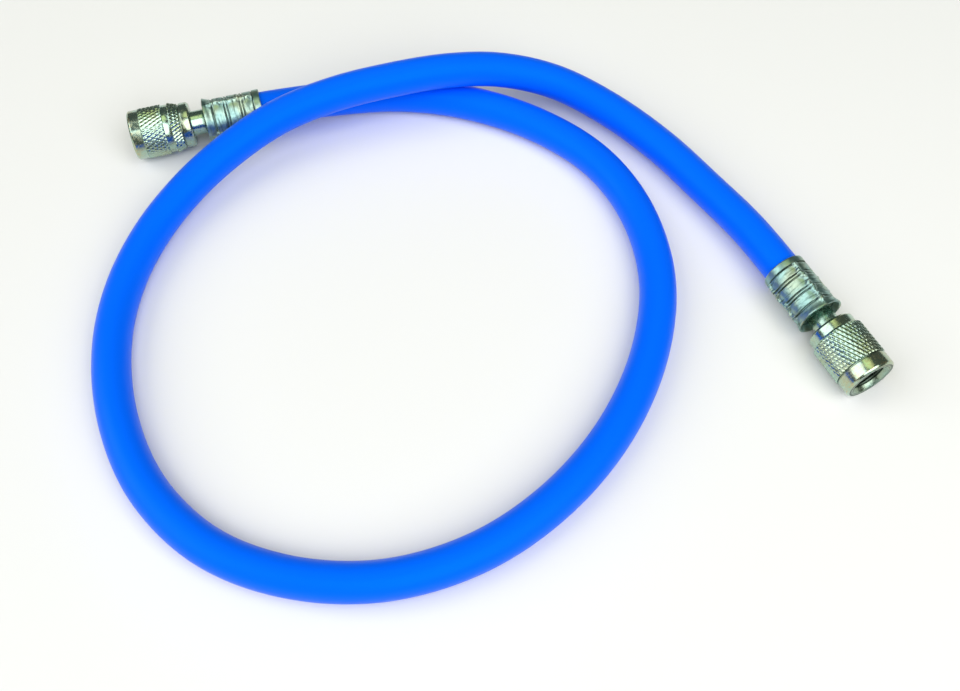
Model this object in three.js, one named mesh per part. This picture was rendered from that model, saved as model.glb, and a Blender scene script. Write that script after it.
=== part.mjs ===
// Refrigerant charging hose, about 0.9 m long, lying in a loop on a level floor.
// Millimetres, +Z up. The floor is z = 0 and the origin is the middle of the footprint.
// The front fitting points along -Y. The back fitting lies across the far side of the loop.
import * as THREE from "three";

// Clearance between pieces that touch on the real hose.
const SEAT_GAP = 0.3;

// Hose
const HOSE_DIAMETER = 12.5;
const HOSE_BORE = 5.0;
const HOSE_SIDES = 12;
const HOSE_STEPS = 80;
const FLOOR_GAP = 0.1;

// Crimped ferrule, measured along the fitting from the mouth where the hose goes in
const FERRULE_LENGTH = 21.0;
const COLLAR_WALL = 0.9;
const COLLAR_LENGTH = 2.4;
const LAND_WALL = 1.2;
const LAND_LENGTHS = [3.1, 4.0, 3.7];
const NARROW_LAND = 0.5;
const GROOVE_WIDTH = 0.6;
const GROOVE_DEPTH = 0.4;
const CRIMP_JAWS = 4;
const FLAT_DEPTH = 0.5;
const RIDGE_HEIGHT = 0.6;
const WAIST_LENGTH = 0.8;
const LIP_FLARE = 0.35;
const LIP_WALL = 0.8;
const WEB_RECESS = 2.2;
const WEB_THICKNESS = 1.5;

// Hose stem: tail in the hose, neck through the ferrule and the nut, flange and nose inside the nut
const NECK_DIAMETER = 8.8;
const NECK_SHOWN = 4.9;
const STEM_BORE = 3.2;
const STEM_TAIL_LENGTH = 16.0;
const FLANGE_DIAMETER = 10.8;
const FLANGE_THICKNESS = 2.5;
const NOSE_LENGTH = 4.0;
const NOSE_TIP_DIAMETER = 6.0;

// Swivel nuts, with the same thread at both ends
const NUT_DIAMETER = 18.2;
const THREAD_DIAMETER = 11.5;
const MOUTH_DIAMETER = 13.8;
const MOUTH_BEVEL = 1.5;
const RELIEF_DIAMETER = 12.6;
const RELIEF_LENGTH = 4.5;
const NUT_BACK_WALL = 3.5;
const EDGE_BEVEL = 0.7;
const FACE_DIAMETER = 16.6;
const NUT_GROOVE_WIDTH = 0.6;
const NUT_GROOVE_DEPTH = 0.6;
const BACK_COLLAR_DIAMETER = 16.2;
const FACE_COLLAR_DIAMETER = 17.8;
const MIDDLE_BAND_DIAMETER = 17.2;

// Front nut: one long knurled band between two smooth collars
const FRONT_BACK_COLLAR = 4.4;
const FRONT_KNURL = 12.2;
const FRONT_FACE_COLLAR = 4.8;

// Back nut: two knurled bands with a smooth band between them
const BACK_BACK_COLLAR = 3.5;
const BACK_SHOULDER_KNURL = 3.2;
const BACK_MIDDLE_BAND = 2.6;
const BACK_KNURL = 8.0;
const BACK_FACE_COLLAR = 4.1;

// Width of the whole loop. The places below are drawn in units, of which this many cross the loop.
const LOOP_WIDTH = 234;
const UNITS_ACROSS = 234;

// The two mouths where the hose enters its ferrules, and the way each fitting points
const FRONT_MOUTH_AT = [108.0, -60.3];
const FRONT_ANGLE = -90;
const BACK_MOUTH_AT = [-21.0, 89.2];
const BACK_ANGLE = 168;

// The hose between its two mouths, from the front one: x, y, and how far the hose is lifted
// above its lying height, in hose diameters. It rises over its own far end in one low hump.
const HOSE_ROUTE = [
  [107.7, -39.8, 0.18],
  [105.4, -18.1, 0.1],
  [101.3, 5.8, 0.11],
  [92.5, 29.2, 0.26],
  [79.5, 47.4, 0.55],
  [62.8, 58.8, 0.84],
  [44.7, 64.9, 1.06],
  [24.0, 70.2, 1.09],
  [3.0, 74.5, 1.01],
  [-18.0, 75.8, 0.85],
  [-38.0, 73.2, 0.57],
  [-58.0, 66.4, 0.31],
  [-76.5, 55.2, 0.1],
  [-92.0, 39.2, 0.0],
  [-103.5, 18.2, 0.0],
  [-110.0, -7.8, 0.0],
  [-109.5, -34.8, 0.0],
  [-100.0, -60.3, 0.0],
  [-82.0, -80.3, 0.0],
  [-57.5, -94.3, 0.0],
  [-29.0, -99.5, 0.0],
  [0.0, -95.6, 0.0],
  [28.0, -83.8, 0.0],
  [52.5, -64.8, 0.0],
  [70.0, -41.3, 0.0],
  [78.5, -13.8, 0.0],
  [77.5, 12.2, 0.0],
  [67.0, 36.7, 0.0],
  [49.5, 58.2, 0.0],
  [28.5, 73.7, 0.01],
  [4.0, 83.0, 0.1],
];

// Facets of the turned pieces, a multiple of the crimping jaws
const TURNED_SEGMENTS = 36;

const FITTING_HEIGHT = NUT_DIAMETER / 2;
const FRONT_MOUTH = onFloor(FRONT_MOUTH_AT, FITTING_HEIGHT);
const BACK_MOUTH = onFloor(BACK_MOUTH_AT, FITTING_HEIGHT);
const HOSE_RADIUS = HOSE_DIAMETER / 2;
const FERRULE_BORE_RADIUS = HOSE_RADIUS + SEAT_GAP;
const COLLAR_RADIUS = FERRULE_BORE_RADIUS + COLLAR_WALL;
const LAND_RADIUS = FERRULE_BORE_RADIUS + LAND_WALL;
const LIP_RADIUS = LAND_RADIUS + LIP_FLARE;
const NECK_RADIUS = NECK_DIAMETER / 2;
const NECK_HOLE_RADIUS = NECK_RADIUS + SEAT_GAP;
const WEB_FRONT = FERRULE_LENGTH - WEB_RECESS;
const WEB_BACK = WEB_FRONT - WEB_THICKNESS;
const HOSE_INSIDE = WEB_BACK - SEAT_GAP;
const NUT_BACK = FERRULE_LENGTH + NECK_SHOWN;
const FRONT_NUT_LENGTH = FRONT_BACK_COLLAR + FRONT_KNURL + NUT_GROOVE_WIDTH + FRONT_FACE_COLLAR;
const BACK_NUT_LENGTH = BACK_BACK_COLLAR + NUT_GROOVE_WIDTH + BACK_SHOULDER_KNURL
  + BACK_MIDDLE_BAND + BACK_KNURL + BACK_FACE_COLLAR;

// Share of a jaw's angle within which a corner counts as lying between two jaws
const ON_RIDGE = 0.01;

const RUBBER = { color: 0x0a6cf5, roughness: 0.42, metalness: 0.0 };
const FERRULE_METAL = { color: 0xb9c9b4, roughness: 0.34, metalness: 1.0 };
const NUT_METAL = { color: 0xc2cdb2, roughness: 0.26, metalness: 1.0 };
const STEM_METAL = { color: 0xc4c6a2, roughness: 0.28, metalness: 1.0 };

// A drawn place on the floor, scaled to the loop, at a height.
function onFloor([x, y], height) {
  const scale = LOOP_WIDTH / UNITS_ACROSS;
  return new THREE.Vector3(x * scale, y * scale, height);
}

function named(name, geometry, look) {
  const mesh = new THREE.Mesh(geometry, new THREE.MeshStandardMaterial(look));
  mesh.name = name;
  return mesh;
}

// A closed profile of [radius, distance along the axis] corners, turned about +Y.
function turned(profile) {
  const corners = profile.map(([radius, along]) => new THREE.Vector2(radius, along));
  corners.push(corners[0].clone());
  return new THREE.LatheGeometry(corners, TURNED_SEGMENTS);
}

function polygon(radius, kind) {
  const corners = [];
  for (let i = 0; i < HOSE_SIDES; i++) {
    const angle = (2 * Math.PI * i) / HOSE_SIDES;
    corners.push(new THREE.Vector2(radius * Math.cos(angle), radius * Math.sin(angle)));
  }
  return new kind().setFromPoints(corners);
}

// The way a fitting points, as a unit vector in the floor plane.
function heading(degrees) {
  const angle = THREE.MathUtils.degToRad(degrees);
  return new THREE.Vector3(Math.cos(angle), Math.sin(angle), 0);
}

function hosePath() {
  const frontEnd = heading(FRONT_ANGLE).multiplyScalar(HOSE_INSIDE).add(FRONT_MOUTH);
  const backEnd = heading(BACK_ANGLE).multiplyScalar(HOSE_INSIDE).add(BACK_MOUTH);
  const lying = HOSE_RADIUS + FLOOR_GAP;
  const free = HOSE_ROUTE.map(([x, y, lift]) => onFloor([x, y], lying + lift * HOSE_DIAMETER));
  const points = [frontEnd, FRONT_MOUTH, ...free, BACK_MOUTH, backEnd];
  return new THREE.CatmullRomCurve3(points, false, "centripetal");
}

function hoseGeometry() {
  const section = polygon(HOSE_RADIUS, THREE.Shape);
  section.holes.push(polygon(HOSE_BORE / 2, THREE.Path));
  const how = { steps: HOSE_STEPS, extrudePath: hosePath(), bevelEnabled: false };
  return new THREE.ExtrudeGeometry(section, how);
}

// Outside of the ferrule: collar, crimped lands parted by grooves, waist, then the flared lip.
function ferruleOutside() {
  const groove = LAND_RADIUS - GROOVE_DEPTH;
  const outside = [[COLLAR_RADIUS, 0], [COLLAR_RADIUS, COLLAR_LENGTH]];
  let along = COLLAR_LENGTH;
  const cutGroove = (width) => {
    outside.push([groove, along], [groove, along + width], [LAND_RADIUS, along + width]);
    along += width;
  };
  const leaveLand = (length) => {
    along += length;
    outside.push([LAND_RADIUS, along]);
  };
  LAND_LENGTHS.forEach((length, land) => {
    cutGroove(GROOVE_WIDTH);
    if (land > 0) {
      leaveLand(NARROW_LAND);
      cutGroove(GROOVE_WIDTH);
    }
    leaveLand(length);
  });
  cutGroove(WAIST_LENGTH);
  outside.push([LIP_RADIUS, FERRULE_LENGTH]);
  return outside;
}

// The jaws press the sleeve flat between them, and the metal squeezed out stands up as straight ridges.
function crimp(geometry) {
  const at = geometry.getAttribute("position");
  const jaw = (2 * Math.PI) / CRIMP_JAWS;
  for (let i = 0; i < at.count; i++) {
    const radius = Math.hypot(at.getX(i), at.getZ(i));
    const along = at.getY(i);
    const onOutside = radius > FERRULE_BORE_RADIUS + SEAT_GAP;
    if (onOutside && along > COLLAR_LENGTH && along < WEB_BACK) {
      const turn = Math.atan2(at.getZ(i), at.getX(i)) / jaw;
      const onRidge = Math.abs(turn - Math.round(turn)) < ON_RIDGE;
      const flat = FLAT_DEPTH * Math.sin(Math.PI * turn) ** 2;
      const scale = (onRidge ? LAND_RADIUS + RIDGE_HEIGHT : radius - flat) / radius;
      at.setX(i, at.getX(i) * scale);
      at.setZ(i, at.getZ(i) * scale);
    }
  }
  return geometry;
}

function ferruleGeometry() {
  const profile = [
    ...ferruleOutside(),
    [LIP_RADIUS - LIP_WALL, FERRULE_LENGTH],
    [FERRULE_BORE_RADIUS, WEB_FRONT],
    [NECK_HOLE_RADIUS, WEB_FRONT],
    [NECK_HOLE_RADIUS, WEB_BACK],
    [FERRULE_BORE_RADIUS, WEB_BACK],
    [FERRULE_BORE_RADIUS, 0],
  ];
  return crimp(turned(profile));
}

function stemGeometry() {
  const tail = HOSE_BORE / 2 - SEAT_GAP;
  const bore = STEM_BORE / 2;
  const neckStart = WEB_BACK;
  const flangeStart = NUT_BACK + NUT_BACK_WALL + SEAT_GAP;
  const noseStart = flangeStart + FLANGE_THICKNESS;
  const noseEnd = noseStart + NOSE_LENGTH;
  return turned([
    [bore, neckStart - STEM_TAIL_LENGTH],
    [tail, neckStart - STEM_TAIL_LENGTH],
    [tail, neckStart],
    [NECK_RADIUS, neckStart],
    [NECK_RADIUS, flangeStart],
    [FLANGE_DIAMETER / 2, flangeStart],
    [FLANGE_DIAMETER / 2, noseStart],
    [NECK_RADIUS, noseStart],
    [NOSE_TIP_DIAMETER / 2, noseEnd],
    [bore, noseEnd],
  ]);
}

// Inside of a nut, from its open face back to the hole that the neck passes through.
function nutInside(length) {
  const thread = THREAD_DIAMETER / 2;
  const relief = RELIEF_DIAMETER / 2;
  const reliefEnd = NUT_BACK_WALL + RELIEF_LENGTH;
  return [
    [MOUTH_DIAMETER / 2, length],
    [thread, length - MOUTH_BEVEL],
    [thread, reliefEnd],
    [relief, reliefEnd - EDGE_BEVEL],
    [relief, NUT_BACK_WALL],
    [NECK_HOLE_RADIUS, NUT_BACK_WALL],
    [NECK_HOLE_RADIUS, 0],
  ];
}

function nutFace(length) {
  const collar = FACE_COLLAR_DIAMETER / 2;
  return [[collar, length - EDGE_BEVEL], [FACE_DIAMETER / 2, length]];
}

function frontNutGeometry() {
  const outer = NUT_DIAMETER / 2;
  const backCollar = BACK_COLLAR_DIAMETER / 2;
  const faceCollar = FACE_COLLAR_DIAMETER / 2;
  const knurlEnd = FRONT_BACK_COLLAR + FRONT_KNURL;
  const grooveEnd = knurlEnd + NUT_GROOVE_WIDTH;
  return turned([
    [backCollar - EDGE_BEVEL, 0],
    [backCollar, EDGE_BEVEL],
    [backCollar, FRONT_BACK_COLLAR - EDGE_BEVEL],
    [outer, FRONT_BACK_COLLAR],
    [outer, knurlEnd],
    [outer - NUT_GROOVE_DEPTH, knurlEnd],
    [outer - NUT_GROOVE_DEPTH, grooveEnd],
    [faceCollar, grooveEnd],
    ...nutFace(FRONT_NUT_LENGTH),
    ...nutInside(FRONT_NUT_LENGTH),
  ]);
}

function backNutGeometry() {
  const outer = NUT_DIAMETER / 2;
  const backCollar = BACK_COLLAR_DIAMETER / 2;
  const band = MIDDLE_BAND_DIAMETER / 2;
  const faceCollar = FACE_COLLAR_DIAMETER / 2;
  const shoulder = BACK_BACK_COLLAR + NUT_GROOVE_WIDTH;
  const bandStart = shoulder + BACK_SHOULDER_KNURL;
  const knurlStart = bandStart + BACK_MIDDLE_BAND;
  const knurlEnd = knurlStart + BACK_KNURL;
  return turned([
    [backCollar - EDGE_BEVEL, 0],
    [backCollar, EDGE_BEVEL],
    [backCollar, BACK_BACK_COLLAR],
    [backCollar - NUT_GROOVE_DEPTH, BACK_BACK_COLLAR],
    [backCollar - NUT_GROOVE_DEPTH, shoulder],
    [backCollar, shoulder],
    [outer, bandStart],
    [band, bandStart],
    [band, knurlStart],
    [outer, knurlStart],
    [outer, knurlEnd],
    [faceCollar, knurlEnd],
    ...nutFace(BACK_NUT_LENGTH),
    ...nutInside(BACK_NUT_LENGTH),
  ]);
}

// A fitting is built along +Y from its mouth, then laid down in the direction it points.
function fitting(end, mouth, degrees, nutGeometry) {
  const group = new THREE.Group();
  group.position.copy(mouth);
  group.rotation.z = THREE.MathUtils.degToRad(degrees - 90);
  group.add(named(end + "_ferrule", ferruleGeometry(), FERRULE_METAL));
  group.add(named(end + "_stem", stemGeometry(), STEM_METAL));
  const nut = named(end + "_swivel_nut", nutGeometry, NUT_METAL);
  nut.position.y = NUT_BACK;
  group.add(nut);
  return group;
}

const chargingHose = new THREE.Group();
chargingHose.add(named("hose", hoseGeometry(), RUBBER));
chargingHose.add(fitting("front", FRONT_MOUTH, FRONT_ANGLE, frontNutGeometry()));
chargingHose.add(fitting("back", BACK_MOUTH, BACK_ANGLE, backNutGeometry()));

export default chargingHose;
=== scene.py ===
import math

import bmesh
import bpy
from bpy.props import FloatProperty, FloatVectorProperty, IntProperty, PointerProperty
from mathutils import Matrix, Vector


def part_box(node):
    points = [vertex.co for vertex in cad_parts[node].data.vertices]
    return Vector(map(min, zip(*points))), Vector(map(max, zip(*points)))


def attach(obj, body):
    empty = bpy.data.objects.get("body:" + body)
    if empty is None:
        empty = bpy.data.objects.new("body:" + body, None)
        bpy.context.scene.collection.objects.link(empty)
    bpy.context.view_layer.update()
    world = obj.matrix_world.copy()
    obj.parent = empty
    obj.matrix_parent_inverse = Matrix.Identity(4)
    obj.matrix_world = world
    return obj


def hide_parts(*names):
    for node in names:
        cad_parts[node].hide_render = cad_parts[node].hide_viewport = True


bl_info = {
    "name": "Refrigerant Charging Hose",
    "version": (1, 0, 0),
    "blender": (4, 5, 0),
    "location": "View3D > Sidebar > Charging Hose",
    "description": "A flexible hose in a loop, with a crimped ferrule and a knurled swivel nut at each end",
    "category": "Add Mesh",
}

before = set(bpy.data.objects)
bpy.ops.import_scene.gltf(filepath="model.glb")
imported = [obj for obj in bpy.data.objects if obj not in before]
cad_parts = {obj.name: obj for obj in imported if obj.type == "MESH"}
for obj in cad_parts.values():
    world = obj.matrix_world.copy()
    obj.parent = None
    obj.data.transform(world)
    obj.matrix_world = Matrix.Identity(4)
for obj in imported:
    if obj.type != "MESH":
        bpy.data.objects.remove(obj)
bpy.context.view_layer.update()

MM = 0.001

# Read from the solids. The front fitting lies along -Y, so its boxes give the sizes along both fittings.
FERRULE_LOW, FERRULE_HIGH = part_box("front_ferrule")
NUT_LOW, NUT_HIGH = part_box("front_swivel_nut")
STEM_LOW, STEM_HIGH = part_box("front_stem")
AXIS_HEIGHT = (NUT_LOW.z + NUT_HIGH.z) / 2
NUT_RADIUS = (NUT_HIGH.x - NUT_LOW.x) / 2
FERRULE_LENGTH = FERRULE_HIGH.y - FERRULE_LOW.y
NUT_LENGTH = NUT_HIGH.y - NUT_LOW.y
NUT_BACK = FERRULE_HIGH.y - NUT_HIGH.y
STEM_FRONT = FERRULE_HIGH.y - STEM_LOW.y
STEM_TAIL_END = FERRULE_HIGH.y - STEM_HIGH.y

# Hose
HOSE_RADIUS = 6.25 * MM
BORE_RADIUS = 2.5 * MM
HOSE_INSIDE = 17.0 * MM
HOSE_SIDES = 48
BORE_SIDES = 16
PATH_STEPS = 14

# The mouths where the hose enters its ferrules, and the way that each fitting points
FRONT_MOUTH = Vector(((NUT_LOW.x + NUT_HIGH.x) / 2, FERRULE_HIGH.y, AXIS_HEIGHT))
FRONT_ANGLE = math.radians(-90)
BACK_MOUTH = Vector((-0.021, 0.0892, AXIS_HEIGHT))
BACK_ANGLE = math.radians(168)

# The hose between its two mouths, in metres. It rises over its own far end in one low hump.
HOSE_ROUTE = [
    (0.1077, -0.0398, 0.0086), (0.1054, -0.0181, 0.0076), (0.1013, 0.0058, 0.0077),
    (0.0925, 0.0292, 0.0096), (0.0795, 0.0474, 0.0132), (0.0628, 0.0588, 0.01685),
    (0.0447, 0.0649, 0.0196), (0.0240, 0.0702, 0.0200), (0.0030, 0.0745, 0.0190),
    (-0.0180, 0.0758, 0.0170), (-0.0380, 0.0732, 0.0135), (-0.0580, 0.0664, 0.0102),
    (-0.0765, 0.0552, 0.0076), (-0.0920, 0.0392, 0.00635), (-0.1035, 0.0182, 0.00635),
    (-0.1100, -0.0078, 0.00635), (-0.1095, -0.0348, 0.00635), (-0.1000, -0.0603, 0.00635),
    (-0.0820, -0.0803, 0.00635), (-0.0575, -0.0943, 0.00635), (-0.0290, -0.0995, 0.00635),
    (0.0000, -0.0956, 0.00635), (0.0280, -0.0838, 0.00635), (0.0525, -0.0648, 0.00635),
    (0.0700, -0.0413, 0.00635), (0.0785, -0.0138, 0.00635), (0.0775, 0.0122, 0.00635),
    (0.0670, 0.0367, 0.00635), (0.0495, 0.0582, 0.00635), (0.0285, 0.0737, 0.0065),
    (0.0040, 0.0830, 0.0076),
]

# Profiles are lists of (radius, along, wear_and_shade). The value runs from -1, painted shade in recesses,
# through 0, plated, to 1, bare brass.
SKIN = 0.1 * MM
GROOVE_INSET = 0.05 * MM

# Ferrule, measured from its mouth along the fitting
SEAT_GAP = 0.3 * MM
FERRULE_BORE_RADIUS = HOSE_RADIUS + SEAT_GAP
COLLAR_RADIUS = FERRULE_BORE_RADIUS + 0.9 * MM
COLLAR_LENGTH = 2.4 * MM
LAND_RADIUS = FERRULE_BORE_RADIUS + 1.2 * MM
LAND_LENGTHS = (3.1 * MM, 4.0 * MM, 3.7 * MM)
NARROW_LAND = 0.5 * MM
GROOVE_WIDTH = 0.6 * MM
GROOVE_DEPTH = 0.4 * MM
WAIST_LENGTH = 0.8 * MM
LIP_RADIUS = LAND_RADIUS + 0.35 * MM
LIP_WALL = 0.8 * MM
LIP_CURVE = 1.5
LIP_ROWS = (0.2, 0.4, 0.6, 0.8)
WEB_FRONT = FERRULE_LENGTH - 2.2 * MM
WEB_BACK = WEB_FRONT - 1.5 * MM

# Stem
NECK_RADIUS = 4.4 * MM
NECK_HOLE_RADIUS = NECK_RADIUS + SEAT_GAP
STEM_BORE_RADIUS = 1.6 * MM
FLANGE_RADIUS = 5.4 * MM
NOSE_LENGTH = 4.0 * MM
FLANGE_THICKNESS = 2.5 * MM
NOSE_TIP_RADIUS = 3.0 * MM

# Swivel nuts, measured from the back of the nut
THREAD_RADIUS = 5.75 * MM
MOUTH_RADIUS = 6.9 * MM
MOUTH_BEVEL = 1.5 * MM
RELIEF_RADIUS = 6.3 * MM
NUT_BACK_WALL = 3.5 * MM
RELIEF_END = NUT_BACK_WALL + 4.5 * MM
EDGE_BEVEL = 0.7 * MM
FACE_RADIUS = 8.3 * MM
BACK_COLLAR_RADIUS = 8.1 * MM
FACE_COLLAR_RADIUS = 8.9 * MM
MIDDLE_BAND_RADIUS = 8.6 * MM
NUT_GROOVE_WIDTH = 0.6 * MM
NUT_GROOVE_DEPTH = 0.6 * MM
FRONT_KNURL = (4.4 * MM, 16.6 * MM)
BACK_COLLAR_END = 3.5 * MM
BACK_SHOULDER_KNURL = (4.1 * MM, 7.3 * MM)
BACK_KNURL = (9.9 * MM, 17.9 * MM)
SLOPE_ROWS = 12

# Fineness of the turned pieces
COLUMNS_PER_TOOTH = 8
FERRULE_COLUMNS = 176
STEM_COLUMNS = 64
ROWS_PER_DIAMOND = 8
ROWS_PER_THREAD_TURN = 8
FERRULE_ROW = 0.2 * MM
EDGE_ROUNDING = 0.16 * MM
ROUNDING_SHARE = 0.35
ROUNDING_WEAR_AND_SHADE = 0.4
STRAIGHT_ANGLE = math.radians(170)
MERGE_DISTANCE = 1e-7
SHARP_ANGLE = math.radians(34)
HOSE_SHARP_ANGLE = math.radians(50)
HAIR = 1e-6

# Knurling. The second set of grooves has this share of the depth of the first.
SHALLOW_GROOVE = 0.6
CREST_FLATTENING = 1.25
CREST_WEAR = 0.22
# Painted shade in the grooves of the knurled band.
KNURL_GROOVE_SHADE = 0.04

# Crimp of the ferrules
WANDER = 2.6 * MM
WANDERS_PER_MM = 0.28
KNOTS_PER_WANDER = 3.4
LEAST_KNOT = 0.35
KNOT_RANGE = 1.1
RIDGE_APART = 5.3
RIDGE_NARROWING = 0.38
FIRST_LAND_MM = 4.6
LAND_SPACING_MM = 5.4
CRIMP_FADE = 0.4 * MM
SHELL_MARGIN = 0.25 * MM
DENTS_PER_M = 900.0
DENT_DEPTH = 0.1 * MM
FOOT_SHARPNESS = 4.0
RIDGE_WEAR = 0.2
# Painted shade at the feet of the ridges.
FOOT_SHADE = 0.5
STREAKS_PER_MM = 1.5
STREAKS_PER_TURN = 9.0
STREAK_EDGES = (0.48, 0.66)
STREAK_DULLNESS = 0.5

# Rubber
MOTTLE_PER_M = 70.0
MOTTLE_EDGES = (0.3, 0.7)
MOTTLE_ROUGHNESS = (-0.04, 0.07)
GRAIN_PER_M = 900.0
GRAIN_STRENGTH = 0.08
GRAIN_DEPTH = 0.1 * MM
HOSE_SHEEN = 0.28
HOSE_SHEEN_TINT = (0.0, 0.5, 1.0, 1)
UV_PER_M = 10

# Plating
CLOUDS_PER_M = 130.0
SPECKS_PER_M = 1100.0
CLOUD_EDGES = (0.42, 0.68)
CLOUD_SHARE = 0.6
BARE_EDGES = (0.38, 0.6)
SPECK_EDGES = (0.4, 0.7)
SPECK_ROUGHNESS = 0.14
DULL_ROUGHNESS = 0.25
PLATING_RELIEF = 0.05 * MM

# Least roughness of each metal piece, and the strength of its fine relief
FERRULE_FINISH = (0.32, 0.7)
STEM_FINISH = (0.2, 0.3)
NUT_FINISH = (0.17, 0.35)

# Camera, at the photograph's viewing angle
LOOK_AT = Vector((0.0057, -0.0338, 0.0))
CAMERA_DISTANCE = 0.369
CAMERA_ELEVATION = math.radians(60)
CAMERA_AZIMUTH = math.radians(-27.8)
CAMERA_LENS = 41.25
CAMERA_SENSOR = 36.0
CAMERA_CLIP_START = 0.01

# Stage. Each light has a name, a place, a size, a power and a colour.
FLOOR_HALF = 3.0
FLOOR_COLOUR = (0.86, 0.86, 0.86, 1)
FLOOR_ROUGHNESS = 0.9
FLOOR_SHEEN = 0.1
LIGHTS = (
    ("key", (-1.5, 0.5, 1.45), 2.0, 29.0, (1.0, 1.0, 1.0)),
    ("front", (0.1, -0.9, 1.1), 1.5, 21.0, (1.0, 1.0, 1.0)),
    ("warm", (0.12, 0.26, 1.2), 0.6, 1.5, (0.95, 0.95, 0.45)),
)
WORLD_COLOUR = (0.75, 0.86, 0.8, 1)
WORLD_STRENGTH = 0.13


class HoseSettings(bpy.types.PropertyGroup):
    """Looks of the hose that a user would change"""

    hose_colour: FloatVectorProperty(
        name="Hose colour", description="Colour of the rubber", subtype="COLOR",
        size=3, min=0, max=1, default=(0.001, 0.135, 1.0),
    )
    hose_roughness: FloatProperty(
        name="Hose roughness", description="How dull the rubber is", subtype="FACTOR",
        min=0, max=1, default=0.36,
    )


class FittingSettings(bpy.types.PropertyGroup):
    """Sizes and colours of the fittings that a user would change"""

    nut_colour: FloatVectorProperty(
        name="Nut colour", description="Colour of the plating on the nuts and stems", subtype="COLOR",
        size=3, min=0, max=1, default=(0.39, 0.56, 0.47),
    )
    ferrule_colour: FloatVectorProperty(
        name="Ferrule colour", description="Colour of the plating on the ferrules", subtype="COLOR",
        size=3, min=0, max=1, default=(0.27, 0.45, 0.42),
    )
    warm_colour: FloatVectorProperty(
        name="Warm tint", description="Colour of the plating where it is thin", subtype="COLOR",
        size=3, min=0, max=1, default=(0.43, 0.48, 0.3),
    )
    brass_colour: FloatVectorProperty(
        name="Brass colour", description="Colour of the bare brass at worn edges", subtype="COLOR",
        size=3, min=0, max=1, default=(0.62, 0.42, 0.17),
    )
    # Painted shade in recesses, grooves and at ridge feet takes this colour, and so do the dull streaks on
    # the ferrules.
    shade_and_streak_colour: FloatVectorProperty(
        name="Shade and streak colour", description="Colour of painted shade in the recesses and of dull streaks", subtype="COLOR",
        size=3, min=0, max=1, default=(0.03, 0.05, 0.04),
    )
    knurl_teeth: IntProperty(
        name="Knurl teeth", description="Diamonds around each nut", min=12, max=90, default=40,
    )
    knurl_depth: FloatProperty(
        name="Knurl depth", description="Depth of the knurling", subtype="DISTANCE", unit="LENGTH",
        min=0, max=0.001, precision=5, default=0.36 * MM,
    )
    diamond_length: FloatProperty(
        name="Diamond length", description="Length of one knurled diamond along the nut",
        subtype="DISTANCE", unit="LENGTH", min=0.0005, max=0.01, precision=5, default=2.9 * MM,
    )
    thread_pitch: FloatProperty(
        name="Thread pitch", description="Pitch of the thread inside each nut",
        subtype="DISTANCE", unit="LENGTH", min=0.0005, max=0.003, precision=5, default=1.27 * MM,
    )
    thread_depth: FloatProperty(
        name="Thread depth", description="Depth of the thread inside each nut",
        subtype="DISTANCE", unit="LENGTH", min=0, max=0.001, precision=5, default=0.5 * MM,
    )
    crimp_jaws: IntProperty(
        name="Crimp jaws", description="Flats pressed into each ferrule", min=2, max=12, default=4,
    )
    ridge_height: FloatProperty(
        name="Ridge height", description="How far the metal stands up between two crimped flats",
        subtype="DISTANCE", unit="LENGTH", min=0, max=0.002, precision=5, default=0.95 * MM,
    )
    ridge_width: FloatProperty(
        name="Ridge width", description="Half the width of a ridge between two crimped flats",
        subtype="DISTANCE", unit="LENGTH", min=0.0002, max=0.003, precision=5, default=0.9 * MM,
    )
    flat_depth: FloatProperty(
        name="Flat depth", description="How far the jaws press the ferrule flat",
        subtype="DISTANCE", unit="LENGTH", min=0, max=0.001, precision=5, default=0.5 * MM,
    )
    lip_scallop: FloatProperty(
        name="Lip scallop", description="How far the flared lip draws back between two ridges",
        subtype="DISTANCE", unit="LENGTH", min=0, max=0.003, precision=5, default=0.2 * MM,
    )


# Node trees


def socket_in(tree, name, kind, default=None):
    made = tree.interface.new_socket(name=name, in_out="INPUT", socket_type=kind)
    if default is not None:
        made.default_value = default
    return made


def join(tree, value, socket):
    """Links a socket's value, or sets a plain one."""
    if isinstance(value, bpy.types.NodeSocket):
        tree.links.new(value, socket)
    else:
        socket.default_value = value


def calc(tree, operation, *values):
    node = tree.nodes.new("ShaderNodeMath")
    node.operation = operation
    for value, socket in zip(values, node.inputs):
        join(tree, value, socket)
    return node.outputs[0]


def times(tree, *values):
    """The product of two or more values."""
    product = values[0]
    for value in values[1:]:
        product = calc(tree, "MULTIPLY", product, value)
    return product


def combined(tree, *values):
    """A vector of three values."""
    node = tree.nodes.new("ShaderNodeCombineXYZ")
    for value, socket in zip(values, node.inputs):
        join(tree, value, socket)
    return node.outputs[0]


def noise(tree, place, scale, detail, seed=None):
    """Smooth noise from 0 to 1 at a place."""
    node = tree.nodes.new("ShaderNodeTexNoise")
    node.inputs["Scale"].default_value = scale
    node.inputs["Detail"].default_value = detail
    tree.links.new(place, node.inputs["Vector"])
    if seed is not None:
        node.noise_dimensions = "4D"
        join(tree, seed, node.inputs["W"])
    return node.outputs[0]


def smooth_step(tree, value, low, high):
    """From 0 at low to 1 at high, with a smooth start and end."""
    node = tree.nodes.new("ShaderNodeMapRange")
    node.interpolation_type = "SMOOTHSTEP"
    join(tree, value, node.inputs["Value"])
    join(tree, low, node.inputs["From Min"])
    join(tree, high, node.inputs["From Max"])
    return node.outputs["Result"]


def zigzag(tree, value):
    """0 at each whole number and 1 halfway between two of them."""
    return calc(tree, "MULTIPLY", calc(tree, "PINGPONG", value, 0.5), 2.0)


def within(tree, value, low, high):
    """1 from low to high, both included within a hair."""
    above = calc(tree, "GREATER_THAN", value, calc(tree, "SUBTRACT", low, HAIR))
    below = calc(tree, "LESS_THAN", value, calc(tree, "ADD", high, HAIR))
    return calc(tree, "MULTIPLY", above, below)


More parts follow.
